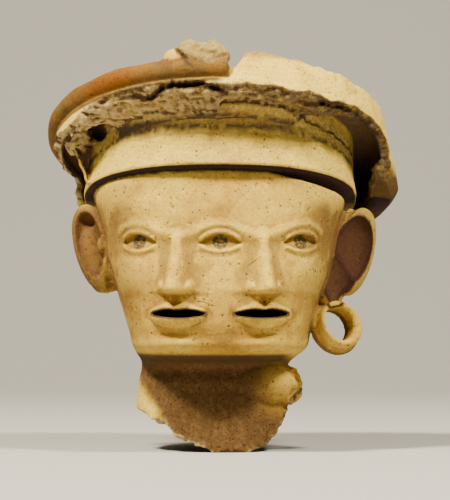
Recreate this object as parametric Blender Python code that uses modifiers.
"""Ancient ceramic head: two faces that share their middle eye, under a broken hollow turban.

The head was built up by hand in clay, hollow, and fired in one piece, so it is one solid.
It stands on the broken rim of its neck. Metres, +Z up, the faces look along -Y.
"""

import math

import bmesh
import bpy
import numpy as np
from mathutils import Matrix, Vector, noise

# Driving dimensions
HEIGHT = 0.240  # from the resting plane to the top of the lump on the rolled edge
BODY_WALL = 0.008  # clay thickness of the head and neck
TURBAN_WALL = 0.0055  # clay thickness of the hollow turban
COIL_RADIUS = 0.0068  # the rolled edge on the turban's rim
SPOOL_RADIUS = 0.0145  # outside of the tube in the ear lobe
SPOOL_WALL = 0.0043
SPOOL_LENGTH = 0.0120
FOOT_WEAR = 0.002  # how much of the neck's lowest points is worn flat where it stands

# Mesh fineness
VOXEL = 0.0014
TARGET_TRIANGLES = 9300
FRONT_COLUMNS = 121
HEAD_ROWS = 160

# The free form is drawn on a canon of 240 parts of the height.
PART = HEIGHT / 240

# The canon of the faces: eye widths along the curve of the mask, and a face in three thirds.
EYE_WIDTH = 25.0
HAIR_LINE = 166.0
CHIN_LINE = 57.0
THIRD = (HAIR_LINE - CHIN_LINE) / 3
BROW_LINE = HAIR_LINE - THIRD
NOSE_LINE = HAIR_LINE - 2 * THIRD
MOUTH_LINE = NOSE_LINE - THIRD / 3
EYE_LINE = BROW_LINE - THIRD / 5
FACE_TURN = math.radians(16)  # each face looks this far away from the middle

# Level sections of neck and head: height, half width, front, back, squareness.
HEAD_SECTIONS = (
    (-8, 49, -43, 46, 2.2),
    (10, 48, -41, 44, 2.2),
    (26, 47, -39, 42, 2.2),
    (40, 45, -37, 41, 2.3),
    (51, 44.5, -38, 42, 2.4),
    (56, 48, -48, 44, 2.7),
    (60, 51, -55, 45, 2.9),
    (70, 54, -58, 47, 2.9),
    (90, 60, -59.5, 52, 2.9),
    (110, 66, -60, 57, 2.9),
    (130, 70, -60, 61, 2.8),
    (150, 72, -59, 63, 2.7),
    (168, 71, -57, 61, 2.6),
    (190, 70, -56, 60, 2.6),
    (222, 68, -55, 56, 2.5),
)
NECK_SHIFT = -3.5  # the neck stands a little to the left under the head

# The cap band: its lower edge is a ring tilted back and leaning to the right.
CAP_TILT = math.radians(17)
CAP_CENTRE = Vector((0, 2, 150))
CAP_HALF_WIDTH = 81.0
CAP_HALF_DEPTH = 68.0
CAP_LEAN = 0.035
CAP_WAIST = 79.0  # half width of the band above its thick lower edge
FLARE_TURNS = (25, 58)  # degrees round from the front where its flare starts to fade and ends

# The turban is tilted back further. Its rim is an ellipse round this centre, and its section
# is given by how far out from that ellipse and how far along the turban's axis a point lies.
TURBAN_TILT = math.radians(25.6)
TURBAN_CENTRE = Vector((0.7, 7, 187))
RIM_HALF_WIDTH = 96.7
RIM_HALF_DEPTH = 83.0
TURBAN_DROP = 30.0
CROWN_RISE = 4.0

# On the right, behind the break, the turban's wall sags: it stands out and hangs lower.
SAG_OUT = 6.0
SAG_DROP = 7.5
SAG_FROM = (82, 97)  # degrees round from the front where it starts and is full
SAG_TO = (112, 142)

# Lower edge of the turban's wall where the front broke away: degrees round from the front,
# and the place along the turban's axis. It drops below the turban where the wall is whole.
# The turban's floor is lost a little further round than its wall.
FLOOR_BREAK_TURN = 36
BREAK_LINE = (
    (-180, -60),
    (-124, -60),
    (-118, -9),
    (-79, -9),
    (-65, -16),
    (-57, -14.5),
    (-48, -10),
    (-38, -9),
    (-27, -8.5),
    (0, -10.5),
    (12, -11.5),
    (39, -12),
    (58, -10.5),
    (65, -11.5),
    (70, -12.5),
    (76, -15),
    (80, -18.5),
    (83, -23),
    (87, -31),
    (90, -60),
    (180, -60),
)

# How much of the turban's floor is left in front, where it joins the wall to the cap: degrees
# round from the front, and the share.
FLOOR_LEFT = ((-62, 0), (-50, 1), (32, 1), (52, 0))
FLOOR_WIDTH = 18.0

# Top edge of the turban's wall: it stands higher on the right, where the rolled edge is lost.
TOP_LINE = (
    (-180, 4),
    (2, 4),
    (4, 1),
    (7, 11),
    (11, 14),
    (18, 12),
    (28, 11),
    (45, 9),
    (70, 9),
    (95, 9),
    (118, 7),
    (128, 4),
    (180, 4),
)

# Broken lower edge of the neck in front, and the plainer one behind: across, height.
# Its lowest points reach below the ground and are worn off there.
WORN = -FOOT_WEAR / PART
NECK_FRONT_EDGE = (
    (-60, 30),
    (-50, 25),
    (-42, 20),
    (-32, 15.5),
    (-20, 7.5),
    (-12, 1),
    (-9, WORN),
    (16, WORN),
    (20, 1.5),
    (29, 7),
    (35, 14),
    (37, 20),
    (40, 27),
    (48, 36),
    (60, 44),
)
NECK_BACK_EDGE = (
    (-60, 34),
    (-45, 27),
    (-24, 11),
    (-13, 0),
    (-10, WORN),
    (18, WORN),
    (21, 1),
    (48, 36),
)

# The ears: centre of the right one, its half sizes, and how it is turned. The left mirrors it,
# but both sit a little to the right, and the left one a little higher.
EAR_CENTRE = Vector((78, -12, 118.5))
EARS_SHIFT = 2.5
EARS_SLOPE = 1.0
EAR_HALF_SIZE = (12, 27, 8)
EAR_FACING = Vector((0.50, -0.86, 0.02))
EAR_UP = Vector((0.28, 0.05, 1))

# The tube hangs in the right lobe: the point of the lobe that it passes, and its axis.
LOBE_PLACE = Vector((69.5, -24, 88))
SPOOL_AXIS = Vector((0.50, -0.80, 0.33))
SPOOL_FLARE = 2.2  # the tube's back edge is this much wider than its front

# Lumps of clay left at the breaks: name, centre, half sizes, and how far each leans.
LUMPS = (
    ("lump", (-11.5, -64, 232.5), (13.5, 8, 7.5), 0),
    ("lump_tail", (-22.5, -62.5, 228.5), (11, 7, 5.5), 0),
    ("lobe_stump", (-67.5, -14, 100.5), (9.5, 8, 4.5), 0),
    ("neck_boss", (33, -10, 38), (16, 19, 15), 0),
    ("clay_bridge", (-84, -12, 187.5), (9, 12, 11.5), 0.45),
)

# Small opening between the cap and the turban, under the break on the left.
GAP_PLACE = (-72.5, -26, 188)
GAP_HALF_SIZE = (5.5, 4.5, 15)
GAP_LEAN = 0.5

BLOCK = 400  # side of the plain blocks that cut the top and the foot level


def smooth(x, low, high):
    """0 below low, 1 above high, and a smooth rise between."""
    t = np.clip((x - low) / (high - low), 0, 1)
    return t * t * (3 - 2 * t)


def along_line(line, place):
    """Value read from a line of points."""
    return float(np.interp(place, *zip(*line)))


def degrees_round(angle):
    """Angle from the front in degrees, from -180 to 180."""
    return math.degrees((angle + math.pi) % (2 * math.pi) - math.pi)


def oval(angle, half_width, front, back, squareness):
    """Point of a rounded-square section; angle 0 is the front, and positive turns to +X."""
    s, c = math.sin(angle), math.cos(angle)
    x = half_width * math.copysign(abs(s) ** (2 / squareness), s)
    depth = front if c > 0 else back
    return x, depth * abs(c) ** (2 / squareness)


def section_at(height, shrink=0.0):
    """Section of the head at a height, taken in by a wall thickness."""
    table = np.array(HEAD_SECTIONS, float)
    z = table[:, 0]
    k = int(np.clip(np.searchsorted(z, height) - 1, 0, len(z) - 2))
    t = (height - z[k]) / (z[k + 1] - z[k])
    slope = np.gradient(table, z, axis=0)
    step = z[k + 1] - z[k]
    row = (
        (2 * t**3 - 3 * t**2 + 1) * table[k]
        + (t**3 - 2 * t**2 + t) * step * slope[k]
        + (3 * t**2 - 2 * t**3) * table[k + 1]
        + (t**3 - t**2) * step * slope[k + 1]
    )
    return row[1] - shrink, row[2] + shrink, row[3] - shrink, row[4]


def neck_shift(height):
    return NECK_SHIFT * float(1 - smooth(height, 48, 62))


def new_object(name, mesh, collection):
    body = bpy.data.objects.new(name, mesh)
    collection.objects.link(body)
    return body


def loft(name, rings, collection, closed_path=False):
    """Skin over rings of points; the ends are capped, or joined where the path is closed."""
    bm = bmesh.new()
    rows = [[bm.verts.new(Vector(p) * PART) for p in ring] for ring in rings]
    pairs = list(zip(rows, rows[1:]))
    if closed_path:
        pairs.append((rows[-1], rows[0]))
    for low, high in pairs:
        for i in range(len(low)):
            j = (i + 1) % len(low)
            bm.faces.new((low[i], low[j], high[j], high[i]))
    if not closed_path:
        bm.faces.new(rows[0])
        bm.faces.new(rows[-1])
    bmesh.ops.recalc_face_normals(bm, faces=bm.faces)
    mesh = bpy.data.meshes.new(name)
    bm.to_mesh(mesh)
    bm.free()
    return new_object(name, mesh, collection)


def evaluated_mesh(body):
    graph = bpy.context.evaluated_depsgraph_get()
    return bpy.data.meshes.new_from_object(body.evaluated_get(graph))


def settle(body):
    """Applies a body's modifiers and its placing to its mesh."""
    bpy.context.view_layer.update()
    mesh = evaluated_mesh(body)
    mesh.transform(body.matrix_world)
    body.modifiers.clear()
    body.data = mesh
    body.matrix_world.identity()


def cut(body, *cutters):
    for cutter in cutters:
        boolean = body.modifiers.new("cut", "BOOLEAN")
        boolean.operation = "DIFFERENCE"
        boolean.solver = "EXACT"
        boolean.object = cutter
    settle(body)


def ellipsoid(name, centre, radii, axes, collection, taper=0.0):
    """Ball stretched along three axes, given as a rotation matrix, and wider towards its top."""
    bpy.ops.mesh.primitive_uv_sphere_add(segments=32, ring_count=18, radius=1)
    ball = bpy.context.object
    ball.name = name
    for users in ball.users_collection:
        users.objects.unlink(ball)
    collection.objects.link(ball)
    scale = np.diag([r * PART for r in radii])
    turn = np.array(axes, float)
    for vertex in ball.data.vertices:
        across, up, out = vertex.co
        shaped = np.array((across * (1 + taper * up), up, out))
        vertex.co = Vector(turn @ scale @ shaped) + Vector(centre) * PART
    return ball


def tube(name, points, radii, collection):
    """Round tube along points, with a radius at each."""
    curve = bpy.data.curves.new(name, "CURVE")
    curve.dimensions = "3D"
    curve.bevel_depth = PART
    curve.bevel_resolution = 4
    curve.use_fill_caps = True
    spline = curve.splines.new("POLY")
    spline.points.add(len(points) - 1)
    for point, place, radius in zip(spline.points, points, radii):
        point.co = (*(Vector(place) * PART), 1)
        point.radius = radius
    guide = new_object(name + "_guide", curve, collection)
    mesh = evaluated_mesh(guide)
    bpy.data.objects.remove(guide)
    bm = bmesh.new()
    bm.from_mesh(mesh)
    bmesh.ops.remove_doubles(bm, verts=bm.verts, dist=1e-5)
    bm.to_mesh(mesh)
    bm.free()
    return new_object(name, mesh, collection)


def facing(direction, up=(0, 0, 1)):
    """Rotation whose columns are across, up and the facing direction."""
    out = Vector(direction).normalized()
    across = Vector(up).cross(out).normalized()
    return np.array((across, out.cross(across), out)).T


# The two faces


def mask_angles(columns):
    """Angles round the head, close together on the front and wide apart behind."""
    front = np.linspace(-math.pi / 2, math.pi / 2, columns)
    behind = np.linspace(math.pi / 2, 3 * math.pi / 2, columns // 3)[1:-1]
    return np.concatenate([front, behind])


def nose_relief(across, height):
    """Rise of one nose; across is measured from its own axis."""
    root, tip = EYE_LINE + 6, NOSE_LINE + 4
    t = np.clip((root - height) / (root - tip), 0, 1)
    ridge = 2.0 + 11.5 * t**1.2
    half_width = 5.5 + 4 * t**2
    profile = np.clip(1 - (np.abs(across) / half_width) ** 2, 0, 1) ** 0.8
    wings = 6.0 * np.exp(
        -(((np.abs(across) - 7.6) / 3.3) ** 2) - ((height - tip - 0.6) / 4.2) ** 2
    )
    above = 1 - smooth(height, root - 4, root + 6)
    below = smooth(height, NOSE_LINE - 1.5, NOSE_LINE + 2.0)
    return np.maximum(ridge * profile, wings) * above * below


def lens(across, half_width):
    """1 in the middle of an almond shape, 0 at its corners and beyond."""
    return np.clip(1 - (across / half_width) ** 2, 0, 1)


def eye_relief(across, height):
    """Carving of one eye: lids that stand proud and an eyeball set back under the upper lid."""
    open_to = lens(across, EYE_WIDTH / 2)
    top = 5.2 * open_to**0.85
    bottom = -3.6 * open_to
    level = height - EYE_LINE
    near = smooth(open_to, 0.0, 0.25)
    inside = smooth(top - level, -0.35, 0.35) * smooth(level - bottom, -0.35, 0.35)
    share = np.clip((level - bottom) / np.maximum(top - bottom, 0.1), 0, 1)
    ball = -(1.0 + 2.4 * share) + 1.4 * open_to * np.sin(math.pi * share)
    socket = -2.4 * np.exp(-((across / 15) ** 2) - ((level - 2) / 8) ** 2)
    upper_lid = 1.7 * np.exp(-(((level - top - 1.0) / 1.5) ** 2)) * near
    lower_lid = 1.2 * np.exp(-(((level - bottom + 1.0) / 1.4) ** 2)) * near
    return socket + np.where(open_to > 0, inside * ball, 0) + upper_lid + lower_lid


def mouth_edges(across):
    """Upper and lower edge of a mouth's opening, measured from the mouth line."""
    open_to = lens(across, 0.7 * EYE_WIDTH)
    bow = 1 - 0.25 * np.exp(-((across / 3.5) ** 2))
    return 3.4 * open_to**0.8 * bow, -1.8 * open_to


def mouth_relief(across, height):
    """Rise of one mouth: the swelling round it, and two parted lips."""
    open_to = lens(across, 0.7 * EYE_WIDTH)
    top, bottom = mouth_edges(across)
    level = height - MOUTH_LINE
    swelling = 3.6 * np.exp(-((across / 22) ** 2) - ((level + 1) / 15) ** 2)
    lower = np.clip((bottom - level) / np.maximum(6.5 * open_to**0.7, 0.1), 0, 1)
    upper = np.clip((level - top) / np.maximum(3.4 * open_to**0.7, 0.1), 0, 1)
    lower_lip = 4.6 * open_to**0.6 * np.sqrt(1 - lower**2) * (level < bottom)
    upper_lip = 3.2 * open_to**0.6 * np.sqrt(1 - upper**2) * (level > top)
    inside = (level <= top) & (level >= bottom)
    return swelling + lower_lip + upper_lip + np.where(inside, 3.0 * open_to**0.6, 0)


def mask_relief(across, height):
    """Broad modelling of the mask: arched brows, cheeks and two chins that run together."""
    arch = BROW_LINE + 2.5 * np.cos(math.pi * across / EYE_WIDTH)
    brow = 2.0 * np.exp(-(((height - arch) / 4.0) ** 2))
    brow = brow * (1 - smooth(np.abs(across), 60, 70))
    cheek = 2.4 * np.exp(
        -(((np.abs(across) - 52) / 15) ** 2) - ((height - NOSE_LINE - 9) / 11) ** 2
    )
    chin = 3.4 * np.exp(
        -(((np.abs(across) - EYE_WIDTH) / 13) ** 2) - ((height - CHIN_LINE - 7) / 6) ** 2
    )
    return brow + cheek + chin


def head_surface(columns, rows):
    """Grid of points of the head's skin, rows upwards, with both faces carved into it."""
    angles = mask_angles(columns)
    heights = np.linspace(HEAD_SECTIONS[0][0], HEAD_SECTIONS[-1][0], rows)
    grid = np.empty((rows, len(angles), 3))
    for i, height in enumerate(heights):
        section = section_at(height)
        for j, angle in enumerate(angles):
            grid[i, j, :2] = oval(angle, *section)
        grid[i, :, 0] += neck_shift(height)
        grid[i, :, 2] = height
    front = grid[:, :columns]
    steps = np.linalg.norm(np.diff(front[:, :, :2], axis=1), axis=2)
    run = np.concatenate([np.zeros((rows, 1)), np.cumsum(steps, axis=1)], axis=1)
    run = run - run[:, columns // 2][:, None]
    along = np.gradient(front[:, :, :2], axis=1)
    along = along / np.maximum(np.linalg.norm(along, axis=2, keepdims=True), 1e-9)
    outward = np.stack([along[:, :, 1], -along[:, :, 0]], axis=2)
    height = front[:, :, 2]
    rise = mask_relief(run, height)
    for centre in (-2 * EYE_WIDTH, 0, 2 * EYE_WIDTH):
        rise = rise + eye_relief(run - centre, height)
    for side in (-1, 1):
        rise = rise + mouth_relief(run - side * EYE_WIDTH, height)
    on_mask = smooth(height, CHIN_LINE - 2, CHIN_LINE + 5)
    on_mask = on_mask * (1 - smooth(height, HAIR_LINE, HAIR_LINE + 6))
    moved = front[:, :, :2] + outward * (rise * on_mask)[:, :, None]
    for side in (-1, 1):
        lift = nose_relief(run - side * EYE_WIDTH, height)
        moved[:, :, 0] += side * math.sin(FACE_TURN) * lift
        moved[:, :, 1] -= math.cos(FACE_TURN) * lift
    grid[:, :columns, :2] = moved
    return grid


def mouth_cutter(side, collection):
    """Slot through the wall in the shape of one mouth's opening."""
    across = np.linspace(-0.7 * EYE_WIDTH + 1.2, 0.7 * EYE_WIDTH - 1.2, 15)
    top, bottom = mouth_edges(across)
    outline = list(zip(across, top)) + list(zip(across[::-1], bottom[::-1]))
    turn = side * math.radians(12)
    out = Vector((math.sin(turn), -math.cos(turn), 0))
    sideways = Vector((math.cos(turn), math.sin(turn), 0))
    middle = Vector((side * (EYE_WIDTH - 0.6), -60, MOUTH_LINE))
    rings = [
        [middle + sideways * a + Vector((0, 0, z)) + out * reach for a, z in outline]
        for reach in (-22, 20)
    ]
    return loft(f"mouth_cutter_{side}", rings, collection)


# The cap band and the turban


def tilted(x, forward, rise, tilt, centre):
    """Point of a frame tilted back about the X axis."""
    ahead = Vector((0, -math.cos(tilt), math.sin(tilt)))
    axis = Vector((0, math.sin(tilt), math.cos(tilt)))
    return centre + Vector((x, 0, 0)) + forward * ahead + rise * axis


def at_front(angle):
    """1 at the front of the cap, falling to 0 at the sides."""
    return float(1 - smooth(abs(degrees_round(angle)), *FLARE_TURNS))


def sag(angle):
    """1 where the turban's wall sags, falling to 0 on both sides."""
    round_it = degrees_round(angle)
    return float(smooth(round_it, *SAG_FROM) * (1 - smooth(round_it, *SAG_TO)))


def sagged(angle, out, rise):
    """Point of the turban's lower wall, moved with the sag the lower it lies."""
    share = sag(angle) * float(smooth(-rise / TURBAN_DROP, 0, 0.9))
    return turban_point(angle, out + SAG_OUT * share, rise - SAG_DROP * share)


def turban_point(angle, out, rise, share=1.0):
    x, depth = oval(angle, RIM_HALF_WIDTH + out, RIM_HALF_DEPTH + out, -RIM_HALF_DEPTH - out, 2.1)
    return tilted(x * share, depth * share, rise, TURBAN_TILT, TURBAN_CENTRE)


def build_cap(collection):
    """Cap band: a thick lower edge, a straight side, and in front a flare up to the turban."""
    angles = np.linspace(-math.pi, math.pi, 96, endpoint=False)

    def low_point(angle, out):
        half_width, half_depth = CAP_HALF_WIDTH + out, CAP_HALF_DEPTH + out
        x, depth = oval(angle, half_width, half_depth, -half_depth, 2.4)
        return tilted(x, depth, 0, CAP_TILT, CAP_CENTRE) - Vector((0, 0, CAP_LEAN * x))

    def high_point(angle):
        return turban_point(angle, CAP_WAIST - RIM_HALF_WIDTH, 0)

    # Share of the way up, how far the band's lower edge stands out, and the flare in front.
    steps = (
        (-0.01, -8, 0),
        (-0.01, -1, 0),
        (0.03, 0.5, 0),
        (0.12, 0, 0),
        (0.25, -1, 0),
        (0.4, -1.5, 0),
        (0.55, -1.5, 1.5),
        (0.66, -1.5, 5),
        (0.74, -1.5, 8.5),
        (1.0, 0, 8.5),
    )
    rings = []
    for share, out, flare in steps:
        ring = []
        for angle in angles:
            place = low_point(angle, out).lerp(high_point(angle), share)
            ring.append(place - Vector((0, flare * at_front(angle), 0)))
        rings.append(ring)
    return loft("cap", rings, collection)


def build_turban(collection):
    """Solid form of the turban: underside, leaning wall and a shallow sunk crown."""
    angles = np.linspace(-math.pi, math.pi, 120, endpoint=False)
    drop = -TURBAN_DROP
    wall = TURBAN_WALL / PART

    def ring(out, rise):
        return [sagged(a, out, rise) for a in angles]

    def top_ring(out, less):
        return [turban_point(a, out, along_line(TOP_LINE, degrees_round(a)) - less) for a in angles]

    rings = [ring(-22, drop + 3), ring(-10, drop - 2), ring(-1, drop), ring(4, drop * 0.8)]
    rings += [ring(4.5, drop * 0.55), ring(2.5, -4), top_ring(0.5, 1.5), top_ring(-1.5, 0)]
    rings += [top_ring(-wall, 0), top_ring(-wall - 1, 1), ring(-wall - 2, 0)]
    for share in (0.82, 0.6, 0.3):
        rise = CROWN_RISE * (1 - share**2)
        rings.append([turban_point(a, 0, rise, share) for a in angles])
    return loft("turban", rings, collection)


def pocket_cutter(collection):
    """The turban's hollow, all round the cap. In front, clay still joins the wall to the cap."""
    wall = TURBAN_WALL / PART
    rings = []
    for angle in np.linspace(-math.pi, math.pi, 120, endpoint=False):
        inner = -40.0
        outer = -wall - FLOOR_WIDTH * along_line(FLOOR_LEFT, degrees_round(angle))
        places = (
            (inner, wall - TURBAN_DROP),
            (outer + 1, wall - TURBAN_DROP),
            (outer + 4, -0.75 * TURBAN_DROP),
            (outer + 4.5, -0.55 * TURBAN_DROP),
            (outer + 2.5, -wall - 1),
            (outer - 1, -wall),
            (inner, -wall),
        )
        rings.append([sagged(angle, out, rise) for out, rise in places])
    return loft("pocket_cutter", rings, collection, closed_path=True)


def front_break_cutter(collection):
    """What is lost of the turban's lower front; its top is the ragged edge of the break."""
    rings = []
    for angle in np.linspace(-math.pi, math.pi, 180, endpoint=False):
        turned = degrees_round(angle)
        edge = along_line(BREAK_LINE, turned)
        floor_edge = along_line(BREAK_LINE, turned - math.copysign(FLOOR_BREAK_TURN, turned))
        chips = noise.noise(Vector((math.sin(angle), math.cos(angle), 0)) * 9)
        ledge = noise.noise(Vector((math.sin(angle), math.cos(angle), 2)) * 7)
        edge += 1.6 * chips
        places = (
            (-34, -75),
            (30, -75),
            (30, edge + 1),
            (3, edge),
            (-1, edge - 3.5 + 1.8 * ledge),
            (-5, edge - 5 + 1.2 * chips),
            (-10, floor_edge - 5),
            (-34, floor_edge - 7),
        )
        rings.append([turban_point(angle, out, rise) for out, rise in places])
    return loft("front_break_cutter", rings, collection, closed_path=True)


def above_turban(rise, collection):
    """Block above a plane across the turban's axis."""
    bpy.ops.mesh.primitive_cube_add(size=BLOCK * PART)
    block = bpy.context.object
    block.name = "above_turban"
    for users in block.users_collection:
        users.objects.unlink(block)
    collection.objects.link(block)
    turn = Matrix.Rotation(-TURBAN_TILT, 4, "X")
    place = tilted(0, 0, rise + BLOCK / 2, TURBAN_TILT, TURBAN_CENTRE) * PART
    block.data.transform(Matrix.Translation(place) @ turn)
    return block


def build_coil(collection):
    """Rolled edge of the turban, from its broken end in front round by the left and behind."""
    radius = COIL_RADIUS / PART
    angles = np.radians(np.linspace(2, -232, 84))
    points = [turban_point(a, 0.5, 0.5) for a in angles]
    radii = [radius * (1 + 0.06 * math.sin(2.3 * a)) for a in angles]
    return tube("coil", points, radii, collection)


# Ears and the tube in the right ear lobe


def build_ear(side, collection):
    """Dished ear that faces forwards and outwards. The left one keeps its inner flap."""
    mirror = Vector((side, 1, 1))
    axes = facing(EAR_FACING * mirror, up=EAR_UP * mirror)
    across, up, out = (Vector(axes[:, i]) for i in range(3))
    across = across * side
    centre = EAR_CENTRE * mirror + Vector((EARS_SHIFT, 0, -side * EARS_SLOPE))

    def pad(name, away, higher, forward, radii, taper=0.0):
        place = centre + across * away + up * higher + out * forward
        return ellipsoid(name, place, radii, axes, collection, taper)

    ear = pad("ear", 0, 0, 0, EAR_HALF_SIZE, taper=0.12)
    root = pad("root", -7, 0, -3, (9, 25, 6))
    if side > 0:
        dish = pad("dish", -3, -1, 7.5, (10.5, 23, 9), taper=0.12)
        others = [pad("lobe", -4, -26, -1.5, (7.5, 9, 4))]
        cut(root, dish)
    else:
        dish = pad("dish", -1.5, 2, 7.5, (8.8, 21.5, 9), taper=0.15)
        others = [pad("flap", 1.2, -3.5, 0.8, (5, 16.5, 4.4))]
    cut(ear, dish)
    bpy.data.objects.remove(dish)
    return [ear, root, *others]


def build_spool(collection):
    """Tube worn in the lobe, turned from a rectangular profile."""
    mesh = bpy.data.meshes.new("spool")
    bm = bmesh.new()
    hole_radius = SPOOL_RADIUS - SPOOL_WALL
    profile = (
        (hole_radius, SPOOL_LENGTH / 2),
        (SPOOL_RADIUS, SPOOL_LENGTH / 2),
        (SPOOL_RADIUS + SPOOL_FLARE * PART, -SPOOL_LENGTH / 2),
        (hole_radius, -SPOOL_LENGTH / 2),
    )
    corners = [bm.verts.new((x, 0, z)) for x, z in profile]
    for i, corner in enumerate(corners):
        bm.edges.new((corner, corners[(i + 1) % len(corners)]))
    bm.to_mesh(mesh)
    bm.free()
    spool = new_object("spool", mesh, collection)
    screw = spool.modifiers.new("turn", "SCREW")
    screw.steps = screw.render_steps = 40
    screw.use_merge_vertices = True
    screw.merge_threshold = 0.00005
    settle(spool)
    turn = facing(SPOOL_AXIS)
    place = LOBE_PLACE * PART - Vector((0, 0, SPOOL_RADIUS))
    for vertex in spool.data.vertices:
        vertex.co = Vector(turn @ np.array(vertex.co)) + place
    bm = bmesh.new()
    bm.from_mesh(spool.data)
    bmesh.ops.recalc_face_normals(bm, faces=bm.faces)
    bm.to_mesh(spool.data)
    bm.free()
    return spool


# Breaks


def neck_break(collection):
    """Cutter whose ragged top leaves the neck's broken lower rim."""
    half, count = 75.0, 76
    steps = np.linspace(-half, half, count)
    bm = bmesh.new()
    top = []
    for y in steps:
        row = []
        behind = float(smooth(y, -12, 14))
        for x in steps:
            edge = (1 - behind) * along_line(NECK_FRONT_EDGE, x)
            edge += behind * along_line(NECK_BACK_EDGE, x)
            chips = 2.2 * noise.noise(Vector((x, y, 3)) * 0.13)
            edge += chips * float(smooth(edge, 0, 6))
            row.append(bm.verts.new(Vector((x, y, edge)) * PART))
        top.append(row)
    for low, high in zip(top, top[1:]):
        for i in range(count - 1):
            bm.faces.new((low[i], low[i + 1], high[i + 1], high[i]))
    skirt = bmesh.ops.extrude_face_region(bm, geom=bm.faces[:])
    for item in skirt["geom"]:
        if isinstance(item, bmesh.types.BMVert):
            item.co.z = -30 * PART
    bmesh.ops.recalc_face_normals(bm, faces=bm.faces)
    mesh = bpy.data.meshes.new("neck_break")
    bm.to_mesh(mesh)
    bm.free()
    return new_object("neck_break", mesh, collection)


def gap_cutter(collection):
    """Small opening left beside the cap, under the break on the left."""
    leaning = facing((0, -1, 0), up=(GAP_LEAN, 0, 1))
    return ellipsoid("gap_cutter", GAP_PLACE, GAP_HALF_SIZE, leaning, collection)


def build_lumps(collection):
    """Lumps left at the breaks."""
    bodies = []
    for name, place, half_size, lean in LUMPS:
        axes = facing((0, -1, 0), up=(lean, 0, 1))
        bodies.append(ellipsoid(name, place, half_size, axes, collection))
    return bodies


# Putting together


def cavity_cutter(collection):
    """The head's hollow, a wall's thickness inside its skin and open through the neck."""
    angles = np.linspace(-math.pi, math.pi, 64, endpoint=False)
    wall = BODY_WALL / PART
    rings = []
    for height in np.linspace(HEAD_SECTIONS[0][0] - 4, HEAD_SECTIONS[-1][0], 44):
        section = section_at(max(height, HEAD_SECTIONS[0][0]), wall)
        ring = [oval(a, *section) for a in angles]
        rings.append([Vector((x + neck_shift(height), y, height)) for x, y in ring])
    return loft("cavity_cutter", rings, collection)


def fuse(name, bodies, collection):
    """Joins overlapping bodies into one clay body."""
    bm = bmesh.new()
    for body in bodies:
        bm.from_mesh(body.data)
    mesh = bpy.data.meshes.new(name)
    bm.to_mesh(mesh)
    bm.free()
    whole = new_object(name, mesh, collection)
    remesh = whole.modifiers.new("fuse", "REMESH")
    remesh.mode = "VOXEL"
    remesh.voxel_size = VOXEL
    soften = whole.modifiers.new("soften", "SMOOTH")
    soften.factor = 0.5
    soften.iterations = 2
    settle(whole)
    return whole


def thin_out(body):
    """Fewer triangles where the surface is plain."""
    count = 2 * len(body.data.polygons)
    decimate = body.modifiers.new("thin_out", "DECIMATE")
    decimate.ratio = TARGET_TRIANGLES / count
    decimate.use_collapse_triangulate = True
    settle(body)


def stand_on_ground(body, collection):
    """Wears the lowest rim flat and sets the middle of the box's underside at the origin."""
    bpy.ops.mesh.primitive_cube_add(size=BLOCK * PART, location=(0, 0, -BLOCK / 2 * PART))
    ground = bpy.context.object
    ground.name = "ground"
    for users in ground.users_collection:
        users.objects.unlink(ground)
    collection.objects.link(ground)
    bpy.context.view_layer.update()
    cut(body, ground)
    corners = np.array([vertex.co for vertex in body.data.vertices])
    middle = (corners.min(axis=0) + corners.max(axis=0)) / 2
    body.data.transform(Matrix.Translation((-middle[0], -middle[1], 0)))


def clay_material():
    clay = bpy.data.materials.new("buff_clay")
    clay.use_nodes = True
    shader = clay.node_tree.nodes["Principled BSDF"]
    shader.inputs["Base Color"].default_value = (0.60, 0.44, 0.20, 1)
    shader.inputs["Roughness"].default_value = 0.8
    shader.inputs["Metallic"].default_value = 0.0
    return clay


def main():
    for old in list(bpy.data.objects):
        bpy.data.objects.remove(old)
    parts = bpy.data.collections.new("ceramic_head_parts")
    cutters = bpy.data.collections.new("cutters")
    bpy.context.scene.collection.children.link(parts)
    bpy.context.scene.collection.children.link(cutters)

    roof = TURBAN_WALL / PART
    cavity = cavity_cutter(cutters)
    cut(cavity, above_turban(-roof - 1, cutters))
    head = loft("head_skin", [list(row) for row in head_surface(FRONT_COLUMNS, HEAD_ROWS)], cutters)
    mouths = [mouth_cutter(side, cutters) for side in (-1, 1)]
    gap = gap_cutter(cutters)
    cut(head, above_turban(-2, cutters), cavity, neck_break(cutters), gap, *mouths)
    cap = build_cap(cutters)
    cut(cap, cavity, gap)
    turban = build_turban(cutters)
    cut(turban, cavity, pocket_cutter(cutters), front_break_cutter(cutters), gap)
    lumps = build_lumps(cutters)
    for lump in lumps:
        cut(lump, cavity)
    ears = build_ear(-1, cutters) + build_ear(1, cutters)
    others = [build_coil(cutters), build_spool(cutters), *ears, *lumps]
    whole = fuse("ceramic_head", [head, cap, turban, *others], parts)
    thin_out(whole)
    stand_on_ground(whole, cutters)
    whole.data.materials.append(clay_material())
    for helper in list(cutters.objects):
        helper.hide_render = True
        helper.display_type = "WIRE"


main()
